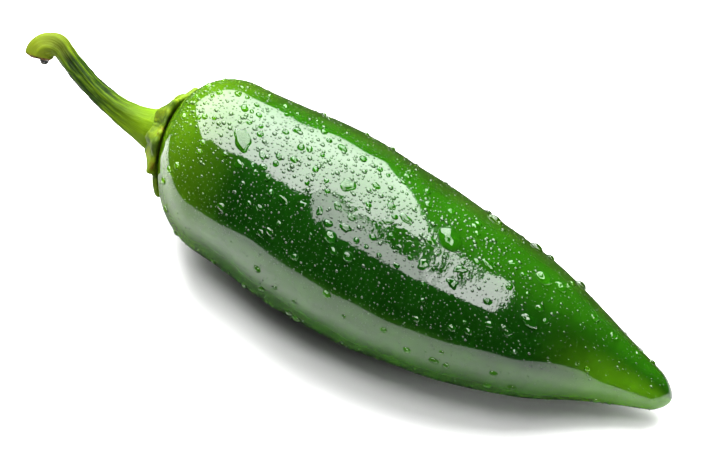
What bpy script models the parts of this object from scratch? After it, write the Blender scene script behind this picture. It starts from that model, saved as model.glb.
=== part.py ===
"""A fresh green chilli of the jalapeno type, lying on its side as picked.

Three pieces: the pod, the calyx (the scalloped collar on the pod's shoulder) and the stem
that rises out of the collar and ends in a hook.  Every number below is in millimetres and
is turned to metres once, where the points go into a mesh.

The pod's own frame has +X from the shoulder to the tip, +Z up and the floor at z = 0.
All three pieces hang from one empty, which puts the middle of their box over the origin.
"""

import math

import bmesh
import bpy
import numpy as np

MM = 0.001

# Gap kept between two pieces that touch on the real fruit.
GAP = 0.3

# --- Pod ------------------------------------------------------------------------------
POD_LENGTH = 79.2
# Shoulder and nose are quarter ellipses of these lengths.
SHOULDER = 10.0
NOSE = 2.6
# Where the outline changes: x, radius, sideways offset of the section's centre.
POD_STATIONS = (
    (0.0, 12.4, 5.5),
    (10.0, 12.5, 4.0),
    (28.0, 13.8, 1.0),
    (45.0, 12.4, -0.5),
    (60.0, 9.2, 0.0),
    (70.0, 5.2, 1.2),
    (POD_LENGTH, 1.9, 1.5),
)
# The belly is a very flat arc that touches the floor at REST_X.
REST_X = 34.0
BELLY_RADIUS_SHOULDER = 350.0
BELLY_RADIUS_TIP = 450.0
# The fruit's own weight flattens the skin by this much where it rests.
REST_FLAT_DEPTH = 0.3
# Three shallow lobes, strongest at the shoulder, with a furrow facing the floor.
LOBES = 3
LOBE_DEPTH = 0.015
POD_RINGS = 38
POD_SIDES = 64

# --- Calyx ----------------------------------------------------------------------------
# Where the stem's axis crosses the shoulder (y, z).
SEAT_Y = 5.1
SEAT_Z = 13.2
CALYX_RADIUS = 6.3
CALYX_RIM_THICKNESS = 0.8
# The collar swells towards the stem by this much, over this distance.
COLLAR_HEIGHT = 1.4
COLLAR_SPREAD = 1.5
# Teeth of the rim: direction in degrees from +Y towards +Z, reach, half width in degrees.
CALYX_TEETH = (
    (26.0, 1.5, 11.0),
    (84.0, 0.5, 16.0),
    (140.0, 0.6, 15.0),
    (213.0, 1.4, 12.0),
    (270.0, 0.8, 14.0),
    (325.0, 0.9, 14.0),
)
# A tooth carries a rib this high along its middle.
RIB_HEIGHT = 0.5
CALYX_SIDES = 72

# --- Stem -----------------------------------------------------------------------------
FOOT_X = -2.8
# The stem runs out by STEM_REACH and rises by STEM_RISE along its lean, as a parabola does.
STEM_REACH = 16.6
STEM_RISE = 5.8
# Its radius falls from the foot's to the neck's, by nearly two thirds in each FLARE_LENGTH.
FOOT_RADIUS = 3.1
NECK_RADIUS = 1.5
FLARE_LENGTH = 4.2
# The stem leans up and sideways in equal parts.
LEAN = math.radians(45.0)
# The hook bends back on a round arc, from the heading it arrives with to HOOK_END.
HOOK_BEND = 2.1
HOOK_END = math.radians(-95.0)
HOOK_RADIUS = 2.1
HOOK_RINGS = 12
STEM_RIDGES = 5
RIDGE_DEPTH = 0.09
STEM_RINGS = 24
STEM_SIDES = 30
# The cut end: a small chamfer round a flat face.
CUT_CHAMFER = 0.25


# --- Curves and surfaces, in millimetres ------------------------------------------------
def smooth_through(stations, values, at):
    """Cubic Hermite curve through the values, its slopes taken from the neighbours."""
    stations = np.asarray(stations, float)
    values = np.asarray(values, float)
    slopes = np.gradient(values, stations)
    left = np.clip(np.searchsorted(stations, at, side="right") - 1, 0, len(stations) - 2)
    span = stations[left + 1] - stations[left]
    u = (at - stations[left]) / span
    return (
        (1 + 2 * u) * (1 - u) ** 2 * values[left]
        + u * (1 - u) ** 2 * span * slopes[left]
        + u * u * (3 - 2 * u) * values[left + 1]
        + u * u * (u - 1) * span * slopes[left + 1]
    )


def pod_frame(x):
    """Full radius, centre offset, centre height and lobe depth of the section at x."""
    x = np.asarray(x, float)
    station, radius, offset = np.array(POD_STATIONS).T
    full = smooth_through(station, radius, x)
    depth = LOBE_DEPTH * np.clip(1 - x / POD_LENGTH, 0, 1)
    belly = np.where(x < REST_X, BELLY_RADIUS_SHOULDER, BELLY_RADIUS_TIP)
    rise = (x - REST_X) ** 2 / (2 * belly)
    height = full * (1 - depth) + rise - REST_FLAT_DEPTH
    return full, smooth_through(station, offset, x), height, depth


def end_rounding(x):
    """How far the shoulder and the nose draw a section in: 0 at a pole, 1 in the body."""
    shoulder = np.sqrt(1 - (1 - np.clip(x / SHOULDER, 0, 1)) ** 2)
    into_nose = np.clip((x - (POD_LENGTH - NOSE)) / NOSE, 0, 1)
    return shoulder * np.sqrt(1 - into_nose**2)


def pod_ring(x):
    """Points of the section at x, with the part that would sink below the floor laid flat."""
    full, offset, height, depth = pod_frame(x)
    turn = np.linspace(0, 2 * math.pi, POD_SIDES, endpoint=False)
    lobe = 1 - depth * np.cos(LOBES * (turn + math.pi / 2))
    radius = full * end_rounding(x) * lobe
    y = offset + radius * np.cos(turn)
    z = np.maximum(height + radius * np.sin(turn), 0)
    return np.column_stack([np.full(POD_SIDES, float(x)), y, z])


def shoulder_x(y, z):
    """X of the pod's surface over a point (y, z) of the shoulder, by a few fixed-point steps."""
    x = np.full(np.shape(y), 0.5)
    for _ in range(12):
        full, offset, height, depth = pod_frame(x)
        turn = np.arctan2(z - height, y - offset)
        lobe = 1 - depth * np.cos(LOBES * (turn + math.pi / 2))
        reach = np.clip(np.hypot(y - offset, z - height) / (full * lobe), 0, 0.999)
        x = SHOULDER * (1 - np.sqrt(1 - reach**2))
    return x


def over_shoulder(y, z, lift):
    """Points that stand off the shoulder by lift, along its outward normal."""
    x = shoulder_x(y, z)
    step = 0.01
    slope_y = (shoulder_x(y + step, z) - shoulder_x(y - step, z)) / (2 * step)
    slope_z = (shoulder_x(y, z + step) - shoulder_x(y, z - step)) / (2 * step)
    normal = np.stack([-np.ones_like(x), slope_y, slope_z], axis=-1)
    normal /= np.linalg.norm(normal, axis=-1, keepdims=True)
    return np.stack([x, y, z], axis=-1) + normal * np.asarray(lift)[..., None]


def tooth_share(turn):
    """Reach of the rim's teeth, and 0 to 1 for how near the middle of a tooth is."""
    reach = np.zeros_like(turn)
    share = np.zeros_like(turn)
    for direction, length, half_width in CALYX_TEETH:
        away = (turn - math.radians(direction) + math.pi) % (2 * math.pi) - math.pi
        bump = np.exp(-((away / math.radians(half_width)) ** 2))
        reach += length * bump
        share = np.maximum(share, bump)
    return reach, share


def calyx_rings():
    """Closed ring after closed ring: out along the underside, round the rim, back on top."""
    turn = np.linspace(0, 2 * math.pi, CALYX_SIDES, endpoint=False)
    reach, share = tooth_share(turn)
    inner = FOOT_RADIUS + GAP
    rim = CALYX_RADIUS + reach
    half = CALYX_RIM_THICKNESS / 2
    rings = []

    def add(radius, lift):
        y = SEAT_Y + radius * np.cos(turn)
        z = SEAT_Z + radius * np.sin(turn)
        rings.append(over_shoulder(y, z, GAP + lift))

    for part in (0.0, 0.33, 0.67, 1.0):
        add(inner + (rim - half - inner) * part, np.zeros(CALYX_SIDES))
    add(rim, np.full(CALYX_SIDES, half))
    for part in (1.0, 0.85, 0.7, 0.52, 0.34, 0.17, 0.0):
        radius = inner + (rim - half - inner) * part
        swell = COLLAR_HEIGHT * np.exp(-(((radius - inner) / COLLAR_SPREAD) ** 2))
        rib = RIB_HEIGHT * share * math.sin(math.pi * part)
        add(radius, CALYX_RIM_THICKNESS + swell + rib)
    return rings


def stem_rings():
    """Rings square to the stem's line, from the foot inside the collar to the cut end."""
    out = np.linspace(0, STEM_REACH, STEM_RINGS)
    up = STEM_RISE * (out / STEM_REACH) ** 2
    size = NECK_RADIUS + (FOOT_RADIUS - NECK_RADIUS) * np.exp(-out / FLARE_LENGTH)
    heading = np.arctan(2 * STEM_RISE * out / STEM_REACH**2)

    # The foot runs back from the collar's mouth to just off the pod.
    foot_depth = FOOT_X + GAP + 0.1
    out = np.concatenate([[foot_depth, foot_depth / 2], out])
    up = np.concatenate([[0, 0], up])
    size = np.concatenate([[FOOT_RADIUS, FOOT_RADIUS], size])
    heading = np.concatenate([[0, 0], heading])

    # The hook: a point of the arc is its centre plus HOOK_BEND square to the heading.
    bend = np.linspace(heading[-1], HOOK_END, HOOK_RINGS + 1)
    centre_out = out[-1] + HOOK_BEND * math.sin(bend[0])
    centre_up = up[-1] - HOOK_BEND * math.cos(bend[0])
    swelling = np.sin(np.linspace(0, math.pi / 2, HOOK_RINGS + 1)[1:])
    out = np.concatenate([out, centre_out - HOOK_BEND * np.sin(bend[1:])])
    up = np.concatenate([up, centre_up + HOOK_BEND * np.cos(bend[1:])])
    size = np.concatenate([size, size[-1] + (HOOK_RADIUS - size[-1]) * swelling])
    heading = np.concatenate([heading, bend[1:]])

    # The cut end's chamfer.
    last_out = out[-1] + CUT_CHAMFER * math.cos(heading[-1])
    last_up = up[-1] + CUT_CHAMFER * math.sin(heading[-1])
    out = np.append(out, last_out)
    up = np.append(up, last_up)
    size = np.append(size, size[-1] - CUT_CHAMFER)
    heading = np.append(heading, heading[-1])

    lean = np.array([0, math.cos(LEAN), math.sin(LEAN)])
    side = np.array([0, -math.sin(LEAN), math.cos(LEAN)])
    foot = np.array([FOOT_X, SEAT_Y, SEAT_Z])
    turn = np.linspace(0, 2 * math.pi, STEM_SIDES, endpoint=False)
    rings = []
    for o, u, r, h in zip(out, up, size, heading):
        centre = foot + o * np.array([-1, 0, 0]) + u * lean
        across = np.array([math.sin(h), 0, 0]) + math.cos(h) * lean
        ridge = RIDGE_DEPTH * np.clip(o / 6, 0, 1)
        profile = r * (1 + ridge * (np.cos(STEM_RIDGES * turn) - 1) / 2)
        ring = centre + np.outer(profile * np.cos(turn), across)
        rings.append(ring + np.outer(profile * np.sin(turn), side))
    return rings


# --- Meshes -----------------------------------------------------------------------------
def loft(name, rings, poles=None, closed=False):
    """Object skinned over the rings, ended by two poles, two flat faces or its first ring."""
    mesh_builder = bmesh.new()
    loops = []
    for ring in rings:
        verts = [mesh_builder.verts.new(point * MM) for point in ring]
        edges = [mesh_builder.edges.new((verts[i - 1], verts[i])) for i in range(len(verts))]
        loops.append((verts, edges))
    pairs = list(zip(loops, loops[1:]))
    if closed:
        pairs.append((loops[-1], loops[0]))
    for (_, first), (_, second) in pairs:
        bmesh.ops.bridge_loops(mesh_builder, edges=first + second)
    if not closed and poles is None:
        mesh_builder.faces.new(loops[0][0])
        mesh_builder.faces.new(loops[-1][0])
    if poles is not None:
        for (verts, _), point in zip((loops[0], loops[-1]), poles):
            pole = mesh_builder.verts.new(np.asarray(point) * MM)
            for i in range(len(verts)):
                mesh_builder.faces.new((verts[i - 1], verts[i], pole))
    bmesh.ops.recalc_face_normals(mesh_builder, faces=mesh_builder.faces)
    mesh = bpy.data.meshes.new(name)
    mesh_builder.to_mesh(mesh)
    mesh_builder.free()
    mesh.shade_smooth()
    mesh.set_sharp_from_angle(angle=math.radians(45))
    piece = bpy.data.objects.new(name, mesh)
    bpy.context.scene.collection.objects.link(piece)
    return piece


def finish(name, colour, roughness):
    """Principled material of one plain colour (linear RGB)."""
    material = bpy.data.materials.new(name)
    material.use_nodes = True
    shader = material.node_tree.nodes["Principled BSDF"]
    shader.inputs["Base Color"].default_value = (*colour, 1)
    shader.inputs["Roughness"].default_value = roughness
    shader.inputs["Metallic"].default_value = 0
    return material


def make_pod():
    # Rings crowd towards both poles, where the outline turns quickest.
    shoulder = SHOULDER * (1 - np.cos(np.linspace(0.12, math.pi / 2, 9)))
    nose = POD_LENGTH - NOSE + NOSE * np.sin(np.linspace(0, math.pi / 2 - 0.15, 5))
    body = np.linspace(SHOULDER, POD_LENGTH - NOSE, POD_RINGS - 12)[1:-1]
    rings = [pod_ring(x) for x in np.concatenate([shoulder, body, nose])]
    _, start_y, start_z, _ = pod_frame(0.0)
    _, end_y, end_z, _ = pod_frame(POD_LENGTH)
    poles = ((0.0, start_y, start_z), (POD_LENGTH, end_y, end_z))
    pod = loft("pod", rings, poles=poles)
    pod.data.materials.append(finish("pod_green", (0.015, 0.10, 0.002), 0.25))
    return pod


def make_calyx():
    calyx = loft("calyx", calyx_rings(), closed=True)
    calyx.data.materials.append(finish("calyx_olive", (0.14, 0.20, 0.03), 0.6))
    return calyx


def make_stem():
    stem = loft("stem", stem_rings())
    stem.data.materials.append(finish("stem_green", (0.20, 0.33, 0.03), 0.5))
    return stem


def box_centre(pieces):
    """Middle of the pieces' common box, in x and y."""
    points = [vertex.co for piece in pieces for vertex in piece.data.vertices]
    middle = []
    for axis in (0, 1):
        values = [point[axis] for point in points]
        middle.append((min(values) + max(values)) / 2)
    return middle


def main():
    for old in list(bpy.data.objects):
        bpy.data.objects.remove(old, do_unlink=True)
    pieces = [make_pod(), make_calyx(), make_stem()]
    chilli = bpy.data.objects.new("chilli", None)
    bpy.context.scene.collection.objects.link(chilli)
    middle_x, middle_y = box_centre(pieces)
    chilli.location = (-middle_x, -middle_y, 0)
    for piece in pieces:
        piece.parent = chilli


main()
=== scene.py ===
# %% [markdown]
# # A wet green chilli
#
# This script dresses a plain model of a chilli: a pod, the calyx (the scalloped collar on the
# pod's shoulder) and the stem.  The plain model is right in size and place but has no detail, so
# each of its three pieces is replaced here by a fine surface worked out with numpy, and the whole
# fruit is then sprinkled with water drops.
#
# All shapes below are worked out in millimetres in the pod's own frame: +X runs from the shoulder
# to the tip, +Z is up and the floor is z = 0.  They are turned to metres once, in the helper that
# makes a mesh.

# %% Load the frame
import math

import bpy
import numpy as np
from mathutils import Matrix, Vector


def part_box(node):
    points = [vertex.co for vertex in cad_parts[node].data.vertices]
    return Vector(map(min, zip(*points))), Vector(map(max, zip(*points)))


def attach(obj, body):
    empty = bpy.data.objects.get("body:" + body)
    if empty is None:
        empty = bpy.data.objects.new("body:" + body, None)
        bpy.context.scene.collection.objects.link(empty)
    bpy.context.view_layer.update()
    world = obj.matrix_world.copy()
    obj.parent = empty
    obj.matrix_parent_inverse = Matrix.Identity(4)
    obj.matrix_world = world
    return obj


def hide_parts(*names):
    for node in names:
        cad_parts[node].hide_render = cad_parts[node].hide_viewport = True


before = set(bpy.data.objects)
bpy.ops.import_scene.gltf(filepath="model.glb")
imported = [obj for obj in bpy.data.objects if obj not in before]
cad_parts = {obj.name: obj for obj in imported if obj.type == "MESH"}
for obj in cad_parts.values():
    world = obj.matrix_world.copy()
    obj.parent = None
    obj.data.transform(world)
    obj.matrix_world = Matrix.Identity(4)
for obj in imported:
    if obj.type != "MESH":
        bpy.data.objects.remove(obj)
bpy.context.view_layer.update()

# %% [markdown]
# ## The outline of the pod
#
# A chilli pod is nearly a solid of revolution, but its sections drift sideways, it has three faint
# lobes from the chambers inside, and its belly is a flat arc that touches the floor.  It could be
# sculpted by hand, but a formula keeps the fine skin exactly on the plain model: a radius and a
# sideways offset are given at a few stations, and a smooth curve goes through them.

# %% Stations of the pod and the curve through them
POD_LENGTH = 79.2
SHOULDER = 10.0
NOSE = 2.6
# Where the outline changes: x, radius and sideways offset of the section's centre.
POD_STATIONS = (
    (0.0, 12.4, 5.5),
    (10.0, 12.5, 4.0),
    (28.0, 13.8, 1.0),
    (45.0, 12.4, -0.5),
    (60.0, 9.2, 0.0),
    (70.0, 5.2, 1.2),
    (POD_LENGTH, 1.9, 1.5),
)
REST_X = 34.0
BELLY_RADIUS_SHOULDER = 350.0
BELLY_RADIUS_TIP = 450.0
REST_FLAT_DEPTH = 0.3
LOBES = 3
LOBE_DEPTH = 0.015


def smooth_through(stations, values, at):
    """Cubic Hermite curve through the values; each slope is the mean slope of its neighbours."""
    stations = np.asarray(stations, float)
    values = np.asarray(values, float)
    slopes = np.gradient(values, stations)
    left = np.clip(np.searchsorted(stations, at, side="right") - 1, 0, len(stations) - 2)
    span = stations[left + 1] - stations[left]
    u = (at - stations[left]) / span
    return (
        (1 + 2 * u) * (1 - u) ** 2 * values[left]
        + u * (1 - u) ** 2 * span * slopes[left]
        + u * u * (3 - 2 * u) * values[left + 1]
        + u * u * (u - 1) * span * slopes[left + 1]
    )


def pod_section(x):
    """Full radius, centre offset, centre height and lobe depth of the section at x."""
    x = np.asarray(x, float)
    station, radius, offset = np.array(POD_STATIONS).T
    full = smooth_through(station, radius, x)
    depth = LOBE_DEPTH * np.clip(1 - x / POD_LENGTH, 0, 1)
    belly = np.where(x < REST_X, BELLY_RADIUS_SHOULDER, BELLY_RADIUS_TIP)
    height = full * (1 - depth) + (x - REST_X) ** 2 / (2 * belly) - REST_FLAT_DEPTH
    return full, smooth_through(station, offset, x), height, depth


def end_rounding(x):
    """Quarter ellipses that draw the section in: 0 at the two poles, 1 along the body."""
    shoulder = np.sqrt(1 - (1 - np.clip(x / SHOULDER, 0, 1)) ** 2)
    into_nose = np.clip((x - (POD_LENGTH - NOSE)) / NOSE, 0, 1)
    return shoulder * np.sqrt(1 - into_nose**2)


# %% [markdown]
# Points are placed along the pod by the distance walked over its skin from the shoulder's pole,
# because x alone hardly changes where the shoulder turns over.  A dense outline is measured once
# and read both ways.

# %% Distance over the skin
bend = np.linspace(0, math.pi / 2, 200)
outline_x = np.concatenate(
    [
        SHOULDER * (1 - np.cos(bend)),
        np.linspace(SHOULDER, POD_LENGTH - NOSE, 400)[1:-1],
        POD_LENGTH - NOSE + NOSE * np.sin(bend),
    ]
)
outline_radius = pod_section(outline_x)[0] * end_rounding(outline_x)
outline_steps = np.hypot(np.diff(outline_x), np.diff(outline_radius))
outline_walk = np.concatenate([[0], np.cumsum(outline_steps)])
SKIN_WALK = float(outline_walk[-1])


def x_at(walk):
    """The x reached after walking this far over the skin from the shoulder's pole."""
    return np.interp(walk, outline_walk, outline_x)


def walk_at(x):
    """The distance over the skin from the shoulder's pole to x."""
    return np.interp(x, outline_x, outline_walk)


print("skin, pole to pole:", round(SKIN_WALK, 1), "mm")

# %% [markdown]
# ## The relief of the skin
#
# A real pod is never a perfect form.  This one has two shallow dents on its upper side and soft
# waves that make its reflections wander.  One function says how far the skin stands in or out.

# %% Dents and waves
# x, direction in degrees from +Y towards +Z, half length, half width, height; all else in mm.
DENTS = (
    (40.0, 96.0, 5.0, 3.4, -0.2),
    (49.0, 92.0, 3.0, 3.0, -0.12),
)
WAVES = 14
WAVE_HEIGHT = 0.016
wave_dice = np.random.default_rng(11)
wave_along = wave_dice.uniform(0.15, 0.75, WAVES)
wave_around = wave_dice.integers(-7, 8, WAVES)
wave_phase = wave_dice.uniform(0, 2 * math.pi, WAVES)


def away_from(turn, degrees):
    """Signed angle between turn and a direction given in degrees, from minus pi to pi."""
    return (turn - math.radians(degrees) + math.pi) % (2 * math.pi) - math.pi


def relief(x, turn, radius):
    """Height of the skin over the plain form: a sum of bell shapes and of sine waves."""
    height = np.zeros(np.broadcast(x, turn).shape)
    for dent_x, direction, half_length, half_width, depth in DENTS:
        across = away_from(turn, direction) * radius / half_width
        height += depth * np.exp(-(((x - dent_x) / half_length) ** 2) - across**2)
    for along, around, phase in zip(wave_along, wave_around, wave_phase):
        height += WAVE_HEIGHT * np.sin(along * x + around * turn + phase)
    return height * np.clip(radius / 6, 0, 1)


def pod_skin(walk, turn):
    """Point of the skin: the section's centre plus its radius, lobes and relief, above z = 0."""
    x = x_at(walk)
    full, offset, height, depth = pod_section(x)
    lobe = 1 - depth * np.cos(LOBES * (turn + math.pi / 2))
    radius = full * end_rounding(x) * lobe
    radius = radius + relief(x, turn, radius)
    y = offset + radius * np.cos(turn)
    z = np.maximum(height + radius * np.sin(turn), 0)
    return np.stack(np.broadcast_arrays(x, y, z), axis=-1)


def pod_skin_normal(walk, turn):
    """Outward normal: the cross product of the two directions over the skin."""
    step = 0.05
    walk_low = np.maximum(walk - step, 0.02)
    walk_high = np.minimum(walk + step, SKIN_WALK - 0.02)
    along = pod_skin(walk_high, turn) - pod_skin(walk_low, turn)
    angle = 0.01
    around = pod_skin(walk, turn + angle) - pod_skin(walk, turn - angle)
    normal = np.cross(around, along)
    return normal / np.maximum(np.linalg.norm(normal, axis=-1, keepdims=True), 1e-12)


# %% [markdown]
# ## From a grid of points to a mesh
#
# Most pieces here are grids: rows of points that each close on themselves.  Their quads follow from
# the row and column numbers, and on most of them a fan of triangles closes each end.  The helper
# also stores where each corner is along and around the piece as a UV map, so that streaks can follow
# the surface.

# %% Mesh helper
MM = 0.001
pod_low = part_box("pod")[0]
turns = np.linspace(0, 2 * math.pi, 721)
lowest_y = pod_skin(np.linspace(0, SKIN_WALK, 400)[:, None], turns)[..., 1].min()
ORIGIN = np.array([pod_low.x, pod_low.y - lowest_y * MM, pod_low.z])


def add_piece(name, points, faces, smooth=True):
    """A new object at the origin whose mesh has these points, given in mm in the pod's frame."""
    mesh = bpy.data.meshes.new(name)
    mesh.from_pydata((np.asarray(points) * MM + ORIGIN).tolist(), [], faces)
    mesh.polygons.foreach_set("use_smooth", np.full(len(mesh.polygons), smooth))
    mesh.update()
    piece = bpy.data.objects.new(name, mesh)
    bpy.context.scene.collection.objects.link(piece)
    return piece


def grid_faces(rows, columns):
    """Quads of a grid whose columns close on themselves, then the fans that close its ends."""
    row, column = np.meshgrid(np.arange(rows - 1), np.arange(columns), indexing="ij")
    after = (column + 1) % columns
    first = row * columns
    quads = np.stack(
        [first + column, first + columns + column, first + columns + after, first + after],
        axis=-1,
    ).reshape(-1, 4)
    ring = np.arange(columns)
    ring_after = (ring + 1) % columns
    start = np.full(columns, rows * columns)
    last = (rows - 1) * columns
    end = start + 1
    start_fan = np.stack([start, ring, ring_after], axis=-1)
    end_fan = np.stack([end, last + ring_after, last + ring], axis=-1)
    return quads, start_fan, end_fan


def add_grid_piece(name, rings, start_pole, end_pole, along, around):
    """A closed piece through rings of points; along and around are stored per corner as UV."""
    rows, columns = rings.shape[:2]
    quads, start_fan, end_fan = grid_faces(rows, columns)
    points = np.concatenate([rings.reshape(-1, 3), [start_pole], [end_pole]])
    piece = add_piece(name, points, quads.tolist() + start_fan.tolist() + end_fan.tolist())
    corner = np.empty(len(piece.data.loops), np.int32)
    piece.data.loops.foreach_get("vertex_index", corner)
    row, column = np.divmod(np.minimum(corner, rows * columns - 1), columns)
    row[corner == rows * columns] = 0
    # A face that crosses the seam reads its far side as one whole turn on, so nothing smears.
    seam = np.zeros(len(corner), bool)
    seam_quads = np.arange(len(quads)) % columns == columns - 1
    seam[: len(quads) * 4] = np.repeat(seam_quads, 4)
    share = column / columns + (seam & (column == 0))
    uv = np.stack([np.asarray(along)[row], share * around], axis=-1)
    layer = piece.data.uv_layers.new(name="surface")
    layer.data.foreach_set("uv", uv.astype(np.float32).ravel())
    return piece


# %% [markdown]
# ## Colours and nodes
#
# Colours are written as the sRGB hex values that a paint program shows.  Blender's shaders work in
# linear light, so one function turns them.  One more function adds a node with its settings and
# links, which keeps each material short enough to read as a recipe.


# %% Material helpers
def linear(hex_colour):
    """Linear RGBA of an sRGB hex colour such as "3a7d1e"."""
    srgb = np.array([int(hex_colour[i : i + 2], 16) for i in (0, 2, 4)]) / 255
    curve = np.where(srgb <= 0.04045, srgb / 12.92, ((srgb + 0.055) / 1.055) ** 2.4)
    return (*curve.tolist(), 1.0)


def add(tree, kind, inputs=None, stops=None, **settings):
    """A new node: settings are its properties, inputs its sockets' values or links."""
    made = tree.nodes.new("ShaderNode" + kind)
    for name, value in settings.items():
        setattr(made, name, value)
    for name, value in (inputs or {}).items():
        if isinstance(value, bpy.types.NodeSocket):
            tree.links.new(value, made.inputs[name])
        else:
            made.inputs[name].default_value = value
    if stops:
        elements = made.color_ramp.elements
        while len(elements) < len(stops):
            elements.new(0.5)
        for element, (position, colour) in zip(elements, stops):
            element.position = position
            element.color = linear(colour)
    return made


def mix(tree, share, first, second, blend="MIX"):
    """Output of a node that turns the first colour into the second by a share."""
    inputs = {0: share, 6: first, 7: second}
    return add(tree, "Mix", inputs, data_type="RGBA", blend_type=blend).outputs[2]


def ranged(tree, value, from_low, from_high, to_low=0.0, to_high=1.0, curve="LINEAR"):
    """Output of a node that carries one range of values over to another."""
    ends = {"From Min": from_low, "From Max": from_high, "To Min": to_low, "To Max": to_high}
    made = add(tree, "MapRange", {"Value": value, **ends}, interpolation_type=curve)
    return made.outputs["Result"]


def noise(tree, vector, scale, detail, roughness=0.5):
    """Output of a noise from 0 to 1 with this many bumps to a unit of the vector."""
    inputs = {"Vector": vector, "Scale": scale, "Detail": detail, "Roughness": roughness}
    return add(tree, "TexNoise", inputs).outputs["Fac"]


def ramp(tree, share, *stops):
    """Output of a colour ramp with these (position, hex colour) stops."""
    return add(tree, "ValToRGB", {"Fac": share}, stops=stops).outputs["Color"]


def bump(tree, height, strength, distance, **more):
    """Normal output of a bump this strong and, in metres, this high."""
    inputs = {"Height": height, "Strength": strength, "Distance": distance, **more}
    return add(tree, "Bump", inputs).outputs["Normal"]


def fill(shader, **values):
    """Sets a shader's sockets; an underscore in a name stands for a space."""
    for name, value in values.items():
        shader.inputs[name.replace("_", " ")].default_value = value


def start_material(name):
    """A new material: its node tree and its Principled shader."""
    material = bpy.data.materials.new(name)
    material.use_nodes = True
    return material, material.node_tree, material.node_tree.nodes["Principled BSDF"]


# %% [markdown]
# ## The colour of the flesh
#
# A chilli's green is laid in zones.  The deep green stays on the near flank, where it is partly
# painted shade.  Over it the top and back are glazed a lighter green as painted light, the far side
# a darker olive as painted shade, and the near side low down a paler green as painted light and
# reflection from the table.  The skin is also yellower round the calyx, and paler and brighter at
# the tip on its near side.  A painter would lay the deep green first and glaze these five zones over
# it, and so does this formula: each zone is one colour and one soft edge.  The result is kept on the
# points of the skin and of the water on it, because water shows the green of the place that it sits
# on.

# %% Flesh colours
# The top, far-side and low-flank greens are painted light and shade; the deep green left on the near
# flank is partly painted shade.
DEEP_GREEN_AND_FLANK_SHADE = "093003"
PAINTED_LIGHT_TOP_GREEN = "1a4a04"
PAINTED_SHADE_FAR_SIDE_GREEN = "223e06"
PAINTED_LIGHT_LOW_FLANK_GREEN = "2c5610"
SHOULDER_GREEN = "466c08"
TIP_GREEN = "4a7e0a"


def soft_step(value, start, full):
    """0 before start, 1 past full, and a smooth S between them; full may lie below start."""
    share = np.clip((value - start) / (full - start), 0, 1)
    return share * share * (3 - 2 * share)


def glaze(colours, over, weight):
    """The colours, turned towards one more by a weight from 0 to 1 for each point."""
    return colours + (np.array(linear(over)[:3]) - colours) * np.asarray(weight)[..., None]


def flesh_and_painted_light(x, turn):
    """Linear colour at a place x mm from the shoulder, in a direction round the pod, painted light
    and shade included.
    """
    x, turn = np.broadcast_arrays(x, turn)
    degrees = np.degrees(turn) % 360
    near_side = np.where(degrees < 270, degrees, degrees - 360)
    colours = np.ones((*x.shape, 3)) * np.array(linear(DEEP_GREEN_AND_FLANK_SHADE)[:3])
    # Painted light and shade by direction round the pod: lighter on top, darker olive on the far
    # side, paler low down, and the near flank left deep green as painted shade.
    colours = glaze(colours, PAINTED_LIGHT_TOP_GREEN, soft_step(near_side, 122, 78))
    colours = glaze(colours, PAINTED_SHADE_FAR_SIDE_GREEN, soft_step(near_side, 68, 44))
    colours = glaze(colours, PAINTED_LIGHT_LOW_FLANK_GREEN, 0.8 * soft_step(near_side, 148, 162))
    colours = glaze(colours, SHOULDER_GREEN, 0.9 * soft_step(x, 17, 3))
    return glaze(colours, TIP_GREEN, 0.9 * soft_step(x, 60, 75) * soft_step(near_side, 92, 140))


def colour_points(piece, name, colours):
    """Stores a linear colour for each point of a piece as a colour attribute."""
    layer = piece.data.attributes.new(name, "FLOAT_COLOR", "POINT")
    opaque = np.concatenate([colours, np.ones((len(colours), 1))], axis=1)
    layer.data.foreach_set("color", opaque.astype(np.float32).ravel())


# %% [markdown]
# ## The skin of the pod
#
# The skin is the grid of that formula: rows of points a quarter of a millimetre apart, fine enough
# that the reflection of the lamp breaks over the dent and the waves as it does on real skin.

# %% Pod skin
SKIN_ROWS = 350
SKIN_COLUMNS = 256
# Round the pod the UV map runs over about its girth, and round the stem likewise.
POD_GIRTH = 80.0
skin_walk = np.linspace(0, SKIN_WALK, SKIN_ROWS + 2)[1:-1]
skin_turn = np.linspace(0, 2 * math.pi, SKIN_COLUMNS, endpoint=False) - math.pi / 2
skin_points = pod_skin(skin_walk[:, None], skin_turn)
pod = add_grid_piece(
    "pod_skin",
    skin_points,
    pod_skin(np.array(0.0), np.array(0.0)),
    pod_skin(np.array(SKIN_WALK), np.array(0.0)),
    skin_walk,
    POD_GIRTH,
)
skin_flesh_and_painted_light = flesh_and_painted_light(x_at(skin_walk)[:, None], skin_turn).reshape(-1, 3)
pole_flesh_and_painted_light = flesh_and_painted_light(np.array([0.0, POD_LENGTH]), np.array([1.6, 1.6]))
colour_points(pod, "flesh_and_painted_light", np.concatenate([skin_flesh_and_painted_light, pole_flesh_and_painted_light]))
# Wetness, 0 to 1: the near edge of the crest, round the middle of the pod.
skin_degrees = np.degrees(skin_turn)
skin_x = x_at(skin_walk)[:, None]
wetness = np.exp(-(((skin_degrees - 108) / 15) ** 2) - ((skin_x - 42) / 20) ** 2)
layer = pod.data.attributes.new("wetness", "FLOAT", "POINT")
layer.data.foreach_set("value", np.append(wetness.ravel(), [0, 0]).astype(np.float32))
print("pod skin:", len(pod.data.polygons), "faces")

# %% [markdown]
# ## Waxy green skin
#
# A chilli's skin is a thin clear wax over green flesh.  The wax gives the sharp white mirror of
# the lamp; the flesh under it gives a deep saturated green that light enters a little way.  The
# green isn't even: it is yellower round the calyx and towards the tip, mottled in between, and it
# carries painted light and shade: lighter on top, darker on the near flank and the far side, paler
# low down.

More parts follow.
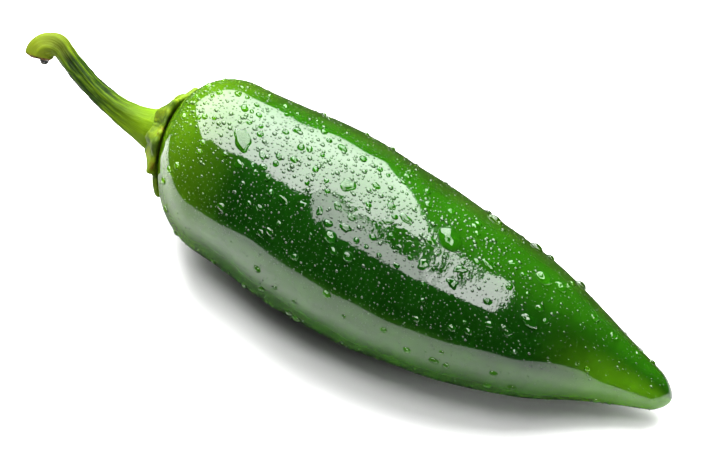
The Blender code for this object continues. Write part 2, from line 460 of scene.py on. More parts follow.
# %% Skin material
def flesh_and_painted_light_colour(tree, place):
    """The points' green, painted light and shade included, as a node output, mottled."""
    green = add(tree, "Attribute", attribute_name="flesh_and_painted_light").outputs["Color"]
    # Mottling of the flesh, about 5 mm across.
    mottle = noise(tree, place, 1 / (5 * MM), 3.0, 0.55)
    mottle_grey = ramp(tree, mottle, (0.35, "e0e4d4"), (0.65, "ffffff"))
    return mix(tree, 1.0, green, mottle_grey, "MULTIPLY")


skin_material, tree, shader = start_material("waxy_chilli_skin")
place = add(tree, "TexCoord").outputs["Object"]
tree.links.new(flesh_and_painted_light_colour(tree, place), shader.inputs["Base Color"])
# Uneven wax: patches of 2 mm that are a little duller.
wax = noise(tree, place, 1 / (2 * MM), 4.0)
wax_roughness = ranged(tree, wax, 0.3, 0.7, 0.03, 0.09)
tree.links.new(wax_roughness, shader.inputs["Roughness"])
# The skin's own grain, 0.4 mm across, is drawn coarser than the real cells.
grain = noise(tree, place, 1 / (0.4 * MM), 2.0)
grain_bump = bump(tree, grain, 0.06, 0.05 * MM)
# Where water has run together the film on the wax is rippled, at 1.5 mm, so mirror images tear.
ripples = noise(tree, place, 1 / (1.5 * MM), 3.0)
wet = add(tree, "Attribute", attribute_name="wetness").outputs["Fac"]
ripple_bump = bump(tree, ripples, wet, 0.14 * MM, Normal=grain_bump)
tree.links.new(ripple_bump, shader.inputs["Normal"])
fill(shader, IOR=1.45, Specular_IOR_Level=0.4)
fill(shader, Subsurface_Weight=0.15, Subsurface_Radius=(0.4, 1.0, 0.2), Subsurface_Scale=MM)
pod.data.materials.append(skin_material)

# %% [markdown]
# ## The calyx
#
# The calyx is what is left of the flower: a leathery disc on the shoulder with seven short teeth.
# Its edge stands off the skin, so a dark line shows between them.  It is made as a closed profile
# (out along the underside, round the rim, back over the top and up the collar) that is carried
# round the seat of the stem while the rim's reach, the thickness and the ribs change with the angle.

# %% Calyx surface
SEAT_Y = 5.1
SEAT_Z = 13.2
FOOT_RADIUS = 3.1
GAP = 0.22
CALYX_RADIUS = 6.0
COLLAR_HEIGHT = 1.3
COLLAR_SPREAD = 1.1
# Teeth: direction in degrees from +Y towards +Z, reach, half width in degrees, curl outwards.
CALYX_TEETH = (
    (26.0, 1.3, 8.0, 0.1),
    (84.0, 0.6, 14.0, 0.3),
    (140.0, 0.5, 13.0, 0.2),
    (176.0, 0.8, 11.0, 0.5),
    (213.0, 2.4, 15.0, 0.0),
    (270.0, 1.2, 14.0, 0.3),
    (325.0, 1.3, 14.0, 0.4),
)
# Round knobs on the collar: direction, distance from the stem's axis, radius, height.
CALYX_KNOBS = (
    (44.0, 5.0, 1.3, 0.9),
    (92.0, 4.8, 1.1, 0.7),
    (165.0, 5.0, 1.3, 0.5),
    (128.0, 4.4, 1.0, 0.5),
    (240.0, 4.9, 1.3, 0.5),
    (300.0, 4.7, 1.3, 0.6),
)
CALYX_COLUMNS = 300


def shoulder_x(y, z):
    """X of the pod over a point (y, z) of its shoulder, by a few fixed-point steps."""
    x = np.full(np.shape(y), 0.5)
    for _ in range(12):
        full, offset, height, depth = pod_section(x)
        turn = np.arctan2(z - height, y - offset)
        lobe = 1 - depth * np.cos(LOBES * (turn + math.pi / 2))
        reach = np.clip(np.hypot(y - offset, z - height) / (full * lobe), 0, 0.999)
        x = SHOULDER * (1 - np.sqrt(1 - reach**2))
    return x


def over_shoulder(y, z, lift):
    """Point that stands off the shoulder by lift, along its outward normal."""
    x = shoulder_x(y, z)
    step = 0.01
    slope_y = (shoulder_x(y + step, z) - shoulder_x(y - step, z)) / (2 * step)
    slope_z = (shoulder_x(y, z + step) - shoulder_x(y, z - step)) / (2 * step)
    normal = np.stack([-np.ones_like(x), slope_y, slope_z], axis=-1)
    normal /= np.linalg.norm(normal, axis=-1, keepdims=True)
    return np.stack([x, y, z], axis=-1) + normal * np.asarray(lift)[..., None]


def wrinkles(seed, turn, radius, count, finest):
    """Sum of waves that run mostly along the radius, from coarse to fine, scaled to a standard
    deviation of 0.4.
    """
    dice = np.random.default_rng(seed)
    total = np.zeros(np.broadcast(turn, radius).shape)
    for _ in range(count):
        around = dice.integers(5, finest)
        phase = dice.uniform(0, 2 * math.pi)
        drift = dice.uniform(-1.2, 1.2)
        total += np.sin(around * turn + drift * radius + phase) / math.sqrt(around)
    return total / total.std() / 2.5


def calyx_rings():
    """Rings of the calyx from its mouth along the underside, round the rim and back to the mouth."""
    turn = np.linspace(0, 2 * math.pi, CALYX_COLUMNS, endpoint=False)
    reach = np.zeros_like(turn)
    curl = np.zeros_like(turn)
    share = np.zeros_like(turn)
    for direction, length, half_width, curls in CALYX_TEETH:
        bell = np.exp(-((away_from(turn, direction) / math.radians(half_width)) ** 2))
        reach += length * bell
        curl += curls * bell
        share = np.maximum(share, bell)
    ragged = wrinkles(5, turn, 0.0, 12, 40)
    rim = CALYX_RADIUS + reach + 0.16 * ragged
    inner = FOOT_RADIUS + GAP / 2
    # Position along the closed profile: 0 to 1 underside, 1 to 2 rim, 2 to 3 top.
    under = np.linspace(0, 1, 12)
    edge = np.linspace(1, 2, 12)[1:-1]
    top = np.linspace(2, 3, 34)
    profile = np.concatenate([under, edge, top])[:, None]
    rim_turn = np.clip(profile - 1, 0, 1) * math.pi
    half = 0.27 + 0.2 * share
    out_share = np.where(profile < 1, profile, np.where(profile > 2, 3 - profile, 1.0))
    radius = inner + (rim - half - inner) * out_share
    radius = radius + half * np.sin(rim_turn)
    thickness = half * (1 - np.cos(rim_turn))
    on_top = np.clip(profile - 2, 0, 1)
    above = np.clip((profile - 1.5) / 0.5, 0, 1)
    swell = COLLAR_HEIGHT * np.exp(-(((radius - inner) / COLLAR_SPREAD) ** 2))
    rib = 0.3 * share * np.sin(math.pi * on_top)
    lift = thickness + above * (swell + rib) * (on_top > 0)
    y = SEAT_Y + radius * np.cos(turn)
    z = SEAT_Z + radius * np.sin(turn)
    for direction, distance, knob_radius, knob_height in CALYX_KNOBS:
        centre_y = SEAT_Y + distance * math.cos(math.radians(direction))
        centre_z = SEAT_Z + distance * math.sin(math.radians(direction))
        square = ((y - centre_y) ** 2 + (z - centre_z) ** 2) / knob_radius**2
        lift = lift + above * knob_height * np.exp(-square * 1.6)
    curled = curl * np.clip((radius - 4.5) / 2.3, 0, 1.3) ** 2
    lift = lift + curled + 0.12 * above * wrinkles(6, turn, radius, 24, 60)
    lift = lift + 0.12 * np.clip((radius - 4.0) / 2.8, 0, 1) ** 2
    return over_shoulder(y, z, GAP + lift)


def add_ring_piece(name, rings):
    """A closed piece whose last ring joins its first, as on a doughnut."""
    rows, columns = rings.shape[:2]
    quads = grid_faces(rows + 1, columns)[0] % (rows * columns)
    return add_piece(name, rings.reshape(-1, 3), quads.tolist())


calyx = add_ring_piece("calyx_leathery", calyx_rings())
print("calyx:", len(calyx.data.polygons), "faces")

# %% [markdown]
# ## Leathery calyx finish
#
# The calyx is duller than the pod: an olive leaf that has begun to dry, in patches that run from
# dark green through olive to brown.

# %% Calyx material
calyx_material, tree, shader = start_material("drying_calyx_leaf")
place = add(tree, "TexCoord").outputs["Object"]
patches = noise(tree, place, 1 / (2.0 * MM), 5.0)
olive_stops = ((0.3, "283c04"), (0.45, "4a6208"), (0.58, "687e0c"), (0.72, "604e0e"))
tree.links.new(ramp(tree, patches, *olive_stops), shader.inputs["Base Color"])
calyx_grain = noise(tree, place, 1 / (0.5 * MM), 5.0, 0.65)
tree.links.new(bump(tree, calyx_grain, 0.5, 0.2 * MM), shader.inputs["Normal"])
fill(shader, Roughness=0.55, Specular_IOR_Level=0.08)
fill(shader, Subsurface_Weight=0.2, Subsurface_Radius=(0.6, 1.0, 0.2), Subsurface_Scale=MM)
calyx.data.materials.append(calyx_material)

# %% [markdown]
# ## The stem
#
# The stem rises out of the collar, narrows, and ends in a hook where it was snapped off the plant.
# It is ribbed like a stalk of celery.  It is made as a ring of points carried along a curve, and
# the ring's ribs deepen, twist and fade on the way.

# %% Stem line
FOOT_X = -2.8
STEM_REACH = 16.6
STEM_RISE = 5.8
NECK_RADIUS = 1.5
FLARE_LENGTH = 4.2
LEAN = math.radians(45.0)
HOOK_BEND = 2.1
HOOK_END = math.radians(-95.0)
HOOK_RADIUS = 2.1
STEM_RIBS = 5
STEM_COLUMNS = 120
STEM_GIRTH = 10.0


def stem_line():
    """Out, rise, radius and heading along the stem: a parabola, then an arc for the hook.  The
    radius falls from the foot's to the neck's, by nearly two thirds in each flare length."""
    out = np.linspace(0, STEM_REACH, 150)
    up = STEM_RISE * (out / STEM_REACH) ** 2
    size = NECK_RADIUS + (FOOT_RADIUS - NECK_RADIUS) * np.exp(-out / FLARE_LENGTH)
    heading = np.arctan(2 * STEM_RISE * out / STEM_REACH**2)
    # The foot runs back from the collar's mouth to just off the pod.
    foot = np.linspace(FOOT_X + GAP + 0.1, 0, 8)[:-1]
    out = np.concatenate([foot, out])
    up = np.concatenate([np.zeros(7), up])
    size = np.concatenate([np.full(7, FOOT_RADIUS), size])
    heading = np.concatenate([np.zeros(7), heading])
    turning = np.linspace(heading[-1], HOOK_END, 41)
    centre_out = out[-1] + HOOK_BEND * math.sin(turning[0])
    centre_up = up[-1] - HOOK_BEND * math.cos(turning[0])
    swelling = np.sin(np.linspace(0, math.pi / 2, 41)[1:])
    out = np.concatenate([out, centre_out - HOOK_BEND * np.sin(turning[1:])])
    up = np.concatenate([up, centre_up + HOOK_BEND * np.cos(turning[1:])])
    size = np.concatenate([size, size[-1] + (HOOK_RADIUS - size[-1]) * swelling])
    heading = np.concatenate([heading, turning[1:]])
    return out, up, size, heading


# %% [markdown]
# The cut end closes the stem: rings shrink towards the middle of the cut while their depth goes up
# and down, because the fibres tore at different lengths.

# %% Stem surface
stem_out, stem_up, stem_size, stem_heading = stem_line()
stem_walk = np.concatenate([[0], np.cumsum(np.hypot(np.diff(stem_out), np.diff(stem_up)))])
STEM_WALK = float(stem_walk[-1])
LEAN_UP = np.array([0, math.cos(LEAN), math.sin(LEAN)])
LEAN_SIDE = np.array([0, -math.sin(LEAN), math.cos(LEAN)])
STEM_FOOT = np.array([FOOT_X, SEAT_Y, SEAT_Z])
stem_turn = np.linspace(0, 2 * math.pi, STEM_COLUMNS, endpoint=False)


def stem_profile(walk, turn, size):
    """Radius with ribs: cosine ribs that deepen after the foot, finer fibres, and small lumps."""
    grown = np.clip((walk - 3) / 6, 0, 1)
    fading = 1 - 0.6 * np.clip((walk - STEM_WALK + 5) / 5, 0, 1)
    twisted = turn + 0.03 * walk
    rib = np.cos(STEM_RIBS * twisted)
    rib = np.where(rib > 0, rib, rib * 0.8)
    fine = 0.35 * np.cos(13 * twisted + 0.8 * np.sin(0.7 * walk)) + 0.25 * np.cos(23 * twisted + 1)
    lumps = 0.02 * np.sin(1.3 * walk + 2 * turn) + 0.015 * np.sin(2.9 * walk - 3 * turn)
    return size * (1 + grown * fading * (0.075 * (rib - 1) + 0.02 * fine) + lumps * grown)


def stem_points(out, up, radius, heading, turn):
    """Points of a ring square to the heading, at this radius from the stem's line."""
    centre = STEM_FOOT + out[..., None] * np.array([-1, 0, 0]) + up[..., None] * LEAN_UP
    across = np.sin(heading)[..., None] * np.array([1, 0, 0]) + np.cos(heading)[..., None] * LEAN_UP
    sideways = (radius * np.cos(turn))[..., None] * across[:, None, :]
    return centre[:, None, :] + sideways + (radius * np.sin(turn))[..., None] * LEAN_SIDE


stem_radius = stem_profile(stem_walk[:, None], stem_turn, stem_size[:, None])
body_rings = stem_points(stem_out, stem_up, stem_radius, stem_heading, stem_turn)
end_direction = math.cos(HOOK_END) * np.array([-1, 0, 0]) + math.sin(HOOK_END) * LEAN_UP
shrink = np.linspace(1, 0, 16)[1:-1]
end_radius = stem_radius[-1] * (shrink[:, None] ** 0.8)
end_rings = stem_points(
    np.full(14, stem_out[-1]),
    np.full(14, stem_up[-1]),
    end_radius,
    np.full(14, stem_heading[-1]),
    stem_turn,
)
end_dice = np.random.default_rng(3)
torn = np.zeros((14, STEM_COLUMNS))
for _ in range(18):
    wave = end_dice.integers(2, 15)
    torn += np.sin(wave * stem_turn + 9 * shrink[:, None] + end_dice.uniform(0, 6.3)) / wave**0.5
torn *= 0.07 * np.sin(math.pi * shrink[:, None]) ** 0.5
bulge = 0.25 * np.sqrt(1 - shrink[:, None] ** 2) + 0.15
end_rings += ((bulge + torn) * np.clip((1 - shrink[:, None]) * 6, 0, 1))[..., None] * end_direction
all_rings = np.concatenate([body_rings, end_rings])
stem_along = np.concatenate([stem_walk, STEM_WALK + (1 - shrink) * HOOK_RADIUS])
foot_pole = STEM_FOOT + stem_out[0] * np.array([-1, 0, 0])
end_pole = end_rings[-1].mean(axis=0)
stem = add_grid_piece("stem_ribbed", all_rings, foot_pole, end_pole, stem_along, STEM_GIRTH)
print("stem:", len(stem.data.polygons), "faces,", round(STEM_WALK, 1), "mm along")

# %% [markdown]
# ## Fibrous stem finish
#
# The stem is fresh green stalk with long fibres under a thin skin, so light comes through its
# edges and its colour runs in streaks along it.  The streaks are noise stretched along the UV map:
# half a millimetre wide and several millimetres long.  The cut end is dry and brown.

# %% Stem material
stem_material, tree, shader = start_material("fibrous_green_stalk")
surface = add(tree, "UVMap", uv_map="surface").outputs["UV"]
stretched = add(tree, "Mapping", {"Vector": surface, "Scale": (0.07, 1.0, 1.0)})
streaks = noise(tree, stretched.outputs["Vector"], 1.7, 5.0, 0.6)
streak_green = ramp(tree, streaks, (0.36, "0a1600"), (0.5, "1c3200"), (0.64, "4c6602"))
along = add(tree, "SeparateXYZ", {"Vector": surface})
# The foot is the youngest part, yellow-green.
foot_share = ranged(tree, along.outputs["X"], 3.0, 11.0)
foot_colour = mix(tree, foot_share, linear("6c8e00"), streak_green)
foot_blend = mix(tree, 0.55, streak_green, foot_colour)
# The hook is the oldest part of the stem, paler and greyer.
hook_share = ranged(tree, along.outputs["X"], STEM_WALK - 7, STEM_WALK - 2, 0.0, 0.6)
hook_blend = mix(tree, hook_share, foot_blend, linear("7c8c1e"))
cut_share = ranged(tree, along.outputs["X"], STEM_WALK - 0.15, STEM_WALK + 0.15)
cut_noise = noise(tree, surface, 2.2, 4.0)
cut_brown = ramp(tree, cut_noise, (0.35, "22150a"), (0.5, "4a3010"), (0.65, "7a5c28"))
stalk_colour = mix(tree, cut_share, hook_blend, cut_brown)
tree.links.new(stalk_colour, shader.inputs["Base Color"])
tree.links.new(bump(tree, streaks, 0.9, 0.35 * MM), shader.inputs["Normal"])
fill(shader, Roughness=0.55, Specular_IOR_Level=0.04)
fill(shader, Subsurface_Weight=0.15, Subsurface_Radius=(0.8, 1.2, 0.2), Subsurface_Scale=MM)
stem.data.materials.append(stem_material)

# %% [markdown]
# ## Water drops
#
# Water beads on wax.  A small drop is a round cap; a larger one sags and takes an uneven outline.
# Drops could be scattered as instances, but each one here is part of a real mesh: one function
# lays caps of any size and outline over the skin, as rings of points whose height above the skin
# falls from the middle to the edge.  Every cap is closed by a fan just under the skin.


# %% Drop surface
UNDERSIDE_RINGS = ((0.93, 0.012), (0.5, 0.03))


def add_drops(name, x, direction, length, width, height, slant, edge, wobble, sides, rings, seed):
    """Caps on the skin.  At a share q of the way out a cap stands height * (1 - q^2)^edge high,
    on an outline that is an ellipse of this length and width, slanted by slant degrees and made
    uneven by wobble, a share of its size."""
    dice = np.random.default_rng(seed)
    count = len(x)
    spin = np.linspace(0, 2 * math.pi, sides, endpoint=False)
    share = np.sin(np.linspace(0, math.pi / 2, rings + 1)[1:])
    lift = height[:, None] * (1 - share**2) ** edge
    # The outermost ring sits under the skin, so that a cap has no visible bottom edge; the
    # underside runs back to the middle just over the skin.
    lift[:, -1] = -0.05
    under_share, under_lift = np.array(UNDERSIDE_RINGS).T
    share = np.concatenate([share, under_share])[None, :, None]
    lift = np.concatenate([lift, np.tile(under_lift, (count, 1))], axis=1)
    outline = np.ones((count, sides))
    for wave in (2, 3, 5):
        phase = dice.uniform(0, 2 * math.pi, (count, 1))
        outline += wobble[:, None] / wave**0.5 * np.cos(wave * spin + phase)
    reach = share * outline[:, None, :]
    forward = reach * np.cos(spin) * (length / 2)[:, None, None]
    aside = reach * np.sin(spin) * (width / 2)[:, None, None]
    angle = np.radians(slant)[:, None, None]
    along = forward * np.cos(angle) - aside * np.sin(angle)
    around = forward * np.sin(angle) + aside * np.cos(angle)
    centre_walk = walk_at(x)
    girth = (pod_section(x)[0] * end_rounding(x))[:, None, None]
    walk = centre_walk[:, None, None] + along
    turn = np.radians(direction)[:, None, None] + around / girth
    caps = pod_skin(walk, turn) + pod_skin_normal(walk, turn) * lift[:, :, None, None]
    turn_0 = np.radians(direction)
    middle = pod_skin(centre_walk, turn_0)
    outwards = pod_skin_normal(centre_walk, turn_0)
    tops = middle + outwards * height[:, None]
    bottoms = middle + outwards * UNDERSIDE_RINGS[-1][1]
    rows = rings + len(UNDERSIDE_RINGS)
    size = rows * sides + 2
    points = np.concatenate([caps.reshape(count, -1, 3), tops[:, None], bottoms[:, None]], axis=1)
    quads, top_fan, bottom_fan = grid_faces(rows, sides)
    first = (np.arange(count) * size)[:, None, None]
    all_quads = (quads[None, :, ::-1] + first).reshape(-1, 4)
    all_fans = (np.concatenate([top_fan, bottom_fan])[None, :, ::-1] + first).reshape(-1, 3)
    piece = add_piece(name, points.reshape(-1, 3), all_quads.tolist() + all_fans.tolist())
    place_x = np.concatenate([x_at(walk).reshape(count, -1), x[:, None], x[:, None]], axis=1)
    place_turn = np.concatenate([turn.reshape(count, -1), turn_0[:, None], turn_0[:, None]], axis=1)
    colour_points(piece, "flesh_and_painted_light", flesh_and_painted_light(place_x, place_turn).reshape(-1, 3))
    # Material 1, the wetted skin, goes on the underside: the quads of the last two rings and the
    # second fan.
    is_under = np.arange(len(quads)) >= (rings - 1) * sides
    fan_under = np.arange(2 * sides) >= sides
    material = np.concatenate([np.tile(is_under, count), np.tile(fan_under, count)])
    piece.data.polygons.foreach_set("material_index", material.astype(np.int32))
    return piece


def skin_grid(spacing, seed, first_x, last_x):
    """X and direction of one random place in each cell of a grid laid over the skin."""
    dice = np.random.default_rng(seed)
    rows = np.arange(walk_at(first_x), walk_at(last_x), spacing)
    girth = 2 * math.pi * pod_section(x_at(rows))[0] * end_rounding(x_at(rows))
    cells = np.maximum((girth / spacing).astype(int), 1)
    row = np.repeat(np.arange(len(rows)), cells)
    cell = np.arange(len(row)) - np.repeat(np.cumsum(cells) - cells, cells)
    walk = rows[row] + dice.uniform(0.1, 0.9, len(row)) * spacing
    direction = 360 * (cell + dice.uniform(0.1, 0.9, len(row))) / cells[row]
    return x_at(walk), direction


def clear_of(x, direction, others, margin):
    """True where a place is farther than a drop's radius plus margin from each listed drop."""
    here = pod_skin(walk_at(x), np.radians(direction))
    clear = np.ones(len(x), bool)
    for other_x, other_direction, radius in others:
        there = pod_skin(walk_at(other_x), np.radians(other_direction))
        clear &= np.linalg.norm(here - there, axis=-1) > radius + margin
    return clear


# %% [markdown]
# Spray wets the upper side most.  There the beads grow until they touch and run together into flat
# pools; on the steep near flank they stay small, and low down they have run off.  The few drops
# that the eye goes to first are placed one by one: a pool on the shoulder, a pair of beads that
# hang on the near flank, one that fills the dent, three before the tip and three that
# stand against the light on the far side.  Chance does the rest.

# %% Drops placed one by one
# Share of the pod's length, direction in degrees, length, width and height in mm, slant of the
# long side in degrees, steepness of the edge, unevenness.
CHOSEN_DROPS = (
    (0.18, 100, 3.4, 2.5, 0.35, 30, 0.3, 0.14),
    (0.40, 125, 2.1, 1.8, 0.8, 0, 0.6, 0.04),
    (0.44, 130, 1.7, 1.5, 0.7, 0, 0.6, 0.04),
    (0.58, 90, 3.6, 3.0, 1.0, 20, 0.5, 0.06),
    (0.74, 75, 2.4, 2.1, 0.8, 0, 0.6, 0.04),
    (0.77, 70, 1.8, 1.4, 0.6, 15, 0.6, 0.06),
    (0.75, 115, 2.6, 1.6, 0.6, 10, 0.6, 0.08),
    (0.62, 45, 2.4, 1.3, 0.6, 10, 0.6, 0.08),
    (0.70, 40, 2.0, 1.1, 0.55, 0, 0.6, 0.06),
    (0.79, 35, 1.6, 1.2, 0.55, 0, 0.6, 0.06),
)


def scatter(seed, spacing, chance, first_x, last_x):
    """Seeded places on the skin, kept by a chance that is a function of x and direction."""
    x, direction = skin_grid(spacing, seed, first_x, last_x)
    dice = np.random.default_rng(seed + 1)
    keep = dice.uniform(size=len(x)) < chance(x, direction)
    return x[keep], direction[keep], dice


def bell(value, middle, half_width):
    """1 at the middle, falling off to both sides."""
    return np.exp(-(((value - middle) / half_width) ** 2))


taken = []
chosen_drops = []
for number, row in enumerate(np.array(CHOSEN_DROPS), start=1):
    x = row[:1] * POD_LENGTH
    columns = [row[i : i + 1] for i in range(1, 6)]
    made = add_drops(f"chosen_drop_{number}", x, *columns, row[6], row[7:8], 40, 14, 21)
    chosen_drops.append(made)
    taken.append((x[0], row[1], (row[2] + row[3]) / 4))
print("chosen drops:", len(chosen_drops))

# %% [markdown]
# Pools are flat and uneven and follow the slope; beads are rounder.  Both lie mostly along the
# crest, and a few long ones hang on the far side, where they show against the light.

# %% Pools and beads


def pool_chance(x, direction):
    """Pools: along the near edge of the crest and round the dent."""
    return 0.5 * bell(direction, 108, 16) * bell(x, 34, 22)


def bead_chance(x, direction):
    """Beads: on the crest, most near the shoulder, a few anywhere above the belly."""
    above_belly = np.sin(np.radians(direction)) > -0.4
    return (0.1 + 0.45 * bell(direction, 92, 32) * bell(x, 22, 26)) * above_belly


def lay(name, places, smallest, largest, longer, height, edge, wobble, sides, rings):
    """Drops of seeded sizes at places that are still free; notes them as taken."""
    x, direction, dice = places
    free = clear_of(x, direction, taken, largest / 2)
    x, direction = x[free], direction[free]
    size = dice.uniform(smallest, largest, len(x))
    made = add_drops(
        name,
        x,
        direction,
        size * dice.uniform(1.0, longer, len(x)),
        size,
        size * height,
        dice.uniform(-35, 35, len(x)),
        edge,
        dice.uniform(0.3, 1.0, len(x)) * wobble,
        sides,
        rings,
        33,
    )
    taken.extend(zip(x, direction, size / 2))
    print(name + ":", len(x))
    return made


pools = lay("pools", scatter(71, 2.2, pool_chance, 10, 58), 0.8, 1.5, 2.0, 0.18, 0.35, 0.26, 24, 8)
beads = lay("beads", scatter(81, 1.8, bead_chance, 4, 74), 0.6, 1.15, 1.4, 0.34, 0.6, 0.1, 14, 5)

# %% [markdown]
# Mist: the finest drops, a third of a millimetre across on the crest and finer on the flank,
# where each is only a glint.  There are about thirty for each of the others, so each has few
# faces.

# %% Mist


def mist_chance(x, direction):
    """Mist: dense on top and on the near flank, thinner on the far side and low down."""
    near_side = soft_step(direction, 50, 72) * soft_step(direction, 178, 146)
    drier_tip = 1 - 0.55 * soft_step(x, 50, 66)
    return 0.35 + 0.55 * near_side * drier_tip


mist_drops = []
for part, (first_x, last_x) in enumerate(((3, 26), (26, 46), (46, 77.5)), start=1):
    x, direction, dice = scatter(50 + part, 0.6, mist_chance, first_x, last_x)
    free = clear_of(x, direction, taken, 0.1)
    free &= np.sin(np.radians(direction)) > -0.8
    x, direction = x[free], direction[free]
    typical = 0.12 + 0.2 * bell(direction, 90, 24) * soft_step(x, 70, 45)
    size = np.clip(typical * np.exp(dice.normal(0, 0.5, len(x))), 0.09, 0.75)
    flat = dice.uniform(1.0, 1.25, len(x))
    none = np.zeros(len(x))
    made = add_drops(
        f"mist_drops_{part}", x, direction, size * flat, size, size * 0.3, none, 0.6, none, 8, 3, 60
    )
    mist_drops.append(made)
    print("mist drops:", len(x))

# %% [markdown]
# Water ran down the stem too, and one drop of it hangs from the lowest edge of the cut.  It is a
# ball that its weight draws out: rings of points from its neck down, narrower above the middle.

# %% Hanging drop
HANGING_RADIUS = 0.65
HANGING_STRETCH = 1.15
fall = np.linspace(0, math.pi, 22)[1:-1, None]
hanging_radius = HANGING_RADIUS * np.sin(fall) * (1 - 0.25 * np.cos(fall))
hanging_turn = np.linspace(0, 2 * math.pi, 32, endpoint=False)
cut_middle = body_rings[-1].mean(axis=0)
cut_lowest = body_rings[-1][body_rings[-1][:, 2].argmin()]
hanging_middle = cut_middle + 0.75 * (cut_lowest - cut_middle) + 0.5 * end_direction - [0, 0, 0.45]
hanging_y = hanging_radius * np.sin(hanging_turn)
hanging_z = HANGING_STRETCH * HANGING_RADIUS * np.cos(fall)
hanging_parts = np.broadcast_arrays(hanging_radius * np.cos(hanging_turn), hanging_y, hanging_z)
hanging_rings = hanging_middle + np.stack(hanging_parts, axis=-1)
half_height = np.array([0, 0, HANGING_STRETCH * HANGING_RADIUS])
hanging_drop = add_grid_piece(
    "hanging_drop",
    hanging_rings,
    hanging_middle + half_height,
    hanging_middle - half_height,
    HANGING_RADIUS * fall[:, 0],
    2 * math.pi * HANGING_RADIUS,
)
print("hanging drop:", len(hanging_drop.data.polygons), "faces")

# %% [markdown]
# ## Water
#
# Clean water: no colour, a mirror-smooth surface and an index of refraction of 1.33.  Each drop
# then works as a small lens, with a bright spot of the lamp on one side and light gathered on the
# skin at the other.

# %% Water material
WATER_IOR = 1.33
water_material, tree, shader = start_material("clear_water")
fill(shader, Base_Color=(1, 1, 1, 1), Transmission_Weight=1.0)
fill(shader, Roughness=0.0, IOR=WATER_IOR, Specular_IOR_Level=0.8)

# %% [markdown]
# Wax under water hardly mirrors, because water and wax bend light almost alike.  So the underside
# of each drop is a thin layer of wetted skin: the same flesh colour, a little greener, with no
# mirror of its own.  That is why a drop that lies in a white reflection shows up as a green spot.

# %% Wetted skin material
wet_material, tree, shader = start_material("skin_under_water")
place = add(tree, "TexCoord").outputs["Object"]
under_water = mix(tree, 1.0, flesh_and_painted_light_colour(tree, place), (0.9, 1.0, 0.8, 1.0), "MULTIPLY")
tree.links.new(under_water, shader.inputs["Base Color"])
fill(shader, Roughness=0.8, Specular_IOR_Level=0.0)

# %% [markdown]
# The mist's drops are too small to see through.  Each is a bead with the colour of the flesh and
# the smooth gloss of water, which is all the eye gets of it: a dark dot with a glint.

# %% Mist material
mist_material, tree, shader = start_material("water_mist_on_skin")
place = add(tree, "TexCoord").outputs["Object"]
tree.links.new(flesh_and_painted_light_colour(tree, place), shader.inputs["Base Color"])
fill(shader, Roughness=0.03, IOR=WATER_IOR, Specular_IOR_Level=0.8)
for piece in (*chosen_drops, pools, beads):
    piece.data.materials.append(water_material)
    piece.data.materials.append(wet_material)
for piece in mist_drops:
    piece.data.materials.append(mist_material)
    piece.data.polygons.foreach_set("material_index", np.zeros(len(piece.data.polygons), np.int32))
hanging_drop.data.materials.append(water_material)
water_pieces = [*chosen_drops, pools, beads, *mist_drops, hanging_drop]

# %% [markdown]
# ## Floor, lamp and camera
#
# The fruit lies near the left edge of a white table.  A wide soft lamp in two parts stands behind it
# and to its left, and three panels hang overhead.  Their mirror images make the white band on the
# skin, and the dark patch in it is a gap between them.  The table's mirror image, with a painted
# shadow in it, makes the grey band low on the near flank, over a paler green painted there as light;
# the dim room, with a darker green painted on the flank as shade, gives the deep green between the
# two.

# %% Table
TABLE_LEFT = -45.0
TABLE_RIGHT = 230.0
TABLE_NEAR = -130.0
TABLE_BACK = 300.0
ALONG_SHARE = 0.46
near_corners = [(TABLE_LEFT, TABLE_NEAR, 0.0), (TABLE_RIGHT, TABLE_NEAR, 0.0)]
back_corners = [(TABLE_RIGHT, TABLE_BACK, 0.0), (TABLE_LEFT, TABLE_BACK, 0.0)]
table = add_piece("white_table", near_corners + back_corners, [(0, 1, 2, 3)], smooth=False)
table_material, tree, shader = start_material("matt_white_card")
place = add(tree, "TexCoord").outputs["Object"]
# Distance in mm from the middle of the fruit, along which it counts less than half.
from_fruit = add(
    tree,
    "Mapping",
    {
        "Vector": place,
        "Location": tuple(-(ORIGIN + np.array([32 * MM, 0, 0])) / MM * (ALONG_SHARE, 1, 1)),
        "Scale": (ALONG_SHARE / MM, 1 / MM, 1 / MM),
    },
)
measured = add(tree, "VectorMath", {0: from_fruit.outputs["Vector"]}, operation="LENGTH")
distance = measured.outputs["Value"]
# Seen directly the card is white, but for a dark foot painted close to the fruit, which stands in
# for the deepest shadow.  What it throws back at the fruit carries a wider painted shadow close by,
# is bright beyond, and is painted nearly black behind the fruit.
seen = add(tree, "LightPath").outputs["Is Camera Ray"]
near_field = ranged(tree, distance, 15.0, 30.0, 0.1, 1.0, "SMOOTHSTEP")
across = add(tree, "SeparateXYZ", {"Vector": place}).outputs["Y"]
behind = ranged(tree, across, ORIGIN[1] + 8 * MM, ORIGIN[1] + 18 * MM)
thrown_back = ranged(tree, behind, 0.0, 1.0, near_field, 0.01)
seen_directly = ranged(tree, distance, 7.8, 12.5, 0.17, 1.0, "SMOOTHSTEP")
card_grey = ranged(tree, seen, 0.0, 1.0, thrown_back, seen_directly)
card_colour = add(tree, "CombineColor", {name: card_grey for name in ("Red", "Green", "Blue")})
tree.links.new(card_colour.outputs["Color"], shader.inputs["Base Color"])
fill(shader, Roughness=0.9, Specular_IOR_Level=0.0)
table.data.materials.append(table_material)


# %% Lamp
def metres(point):
    """A point of the pod's frame, in metres in the scene's frame."""
    return np.asarray(point, float) * MM + ORIGIN


def direction_to(azimuth, elevation):
    """Unit vector; azimuth in degrees from +Y towards +X, elevation in degrees above the floor."""
    a, e = math.radians(azimuth), math.radians(elevation)
    return np.array([math.sin(a) * math.cos(e), math.cos(a) * math.cos(e), math.sin(e)])


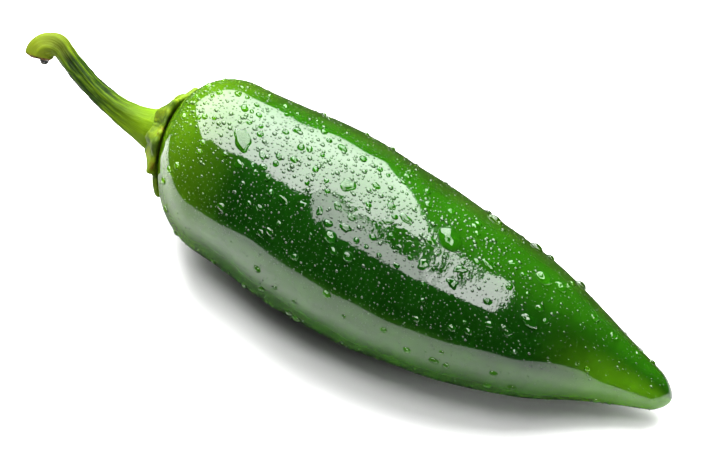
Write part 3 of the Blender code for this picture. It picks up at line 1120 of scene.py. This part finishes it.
LAMP_DISTANCE = 600.0
lamp_aim = np.array([36.0, 0.0, 14.0])


def add_lamp(name, azimuth, elevation, left, right, down, up, radiance, mirror_only=False):
    """A rectangular soft lamp square to its direction; left, right, down and up are shares of the
    distance, measured from the point that the direction meets.  A lamp that is mirror_only shows
    in shiny surfaces and lights no matt one."""
    towards = direction_to(azimuth, elevation)
    turned = math.radians(azimuth)
    sideways = np.array([math.cos(turned), -math.sin(turned), 0])
    upwards = np.cross(sideways, towards)
    shift = (right - left) / 2 * sideways + (up - down) / 2 * upwards
    data = bpy.data.lights.new(name, "AREA")
    data.shape = "RECTANGLE"
    data.size = LAMP_DISTANCE * (left + right) * MM
    data.size_y = LAMP_DISTANCE * (down + up) * MM
    data.energy = radiance * math.pi * data.size * data.size_y
    lamp = bpy.data.objects.new(name, data)
    lamp.location = metres(lamp_aim + LAMP_DISTANCE * (towards + shift))
    lamp.rotation_euler = Matrix((-sideways, upwards, towards)).transposed().to_euler()
    lamp.visible_camera = False
    lamp.visible_diffuse = not mirror_only
    bpy.context.scene.collection.objects.link(lamp)
    return lamp


soft_lamps = [
    add_lamp("soft_lamp", -25.0, 48.0, 0.38, 0.45, 0.9, 0.75, 19.0),
    add_lamp("soft_lamp_wing", -25.0, 48.0, 0.95, -0.38, 0.9, 0.75, 19.0, mirror_only=True),
]
# The lamp's cloth is dimmer towards its lower edge.
for soft_lamp in soft_lamps:
    soft_lamp.data.use_nodes = True
    tree = soft_lamp.data.node_tree
    cloth = add(tree, "SeparateXYZ", {"Vector": add(tree, "TexCoord").outputs["UV"]})
    fall_off = ranged(tree, cloth.outputs["Y"], 0.0, 0.4, 0.4, 1.0)
    tree.links.new(fall_off, tree.nodes["Emission"].inputs["Strength"])
# The middle panel also lightens the shadow.
add_lamp("right_panel", 0.0, 90.0, -0.36, 0.82, 0.4, 0.68, 17.0, mirror_only=True)
add_lamp("front_panel", 0.0, 90.0, 0.36, 0.36, -0.3, 0.76, 11.0, mirror_only=True)
add_lamp("middle_panel", 0.0, 90.0, 0.36, 0.03, -0.02, 0.3, 12.0)

# %% Room
world = bpy.data.worlds.new("dark_room")
world.use_nodes = True
bpy.context.scene.world = world
tree = world.node_tree
background = tree.nodes["Background"]
background.inputs["Color"].default_value = (1, 1, 1, 1)
# The eye sees a white backdrop; the fruit mirrors a dim room; matt things get some fill from it.
rays = add(tree, "LightPath")
filled = ranged(tree, rays.outputs["Is Diffuse Ray"], 0.0, 1.0, 0.02, 0.3)
strength = ranged(tree, rays.outputs["Is Camera Ray"], 0.0, 1.0, filled, 1.0)
tree.links.new(strength, background.inputs["Strength"])

# %% Camera
VIEW_AZIMUTH = 26.0
VIEW_ELEVATION = 56.0
VIEW_DISTANCE = 325.0
view_target = np.array([30.5, 1.5, 12.5])
back = direction_to(180 - VIEW_AZIMUTH, VIEW_ELEVATION)
camera_data = bpy.data.cameras.new("camera")
camera_data.lens = 120
camera_data.sensor_width = 36
camera_data.clip_start = 0.01
camera = bpy.data.objects.new("camera", camera_data)
camera.location = metres(view_target + back * VIEW_DISTANCE)
camera.rotation_euler = Vector(back).to_track_quat("Z", "Y").to_euler()
bpy.context.scene.collection.objects.link(camera)
bpy.context.scene.camera = camera
bpy.context.scene.view_settings.view_transform = "Standard"

# %% [markdown]
# ## Join the pieces to the frame
#
# Each new piece rides on the fruit's only body.  The three fine pieces replace the plain ones.

# %% Ride and replace
for piece, node_name, slot in (
    (pod, "pod", "pod_skin"),
    (calyx, "calyx", "calyx_skin"),
    (stem, "stem", "stem_skin"),
):
    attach(piece, "root")
    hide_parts(node_name)
for piece in water_pieces:
    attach(piece, "root")
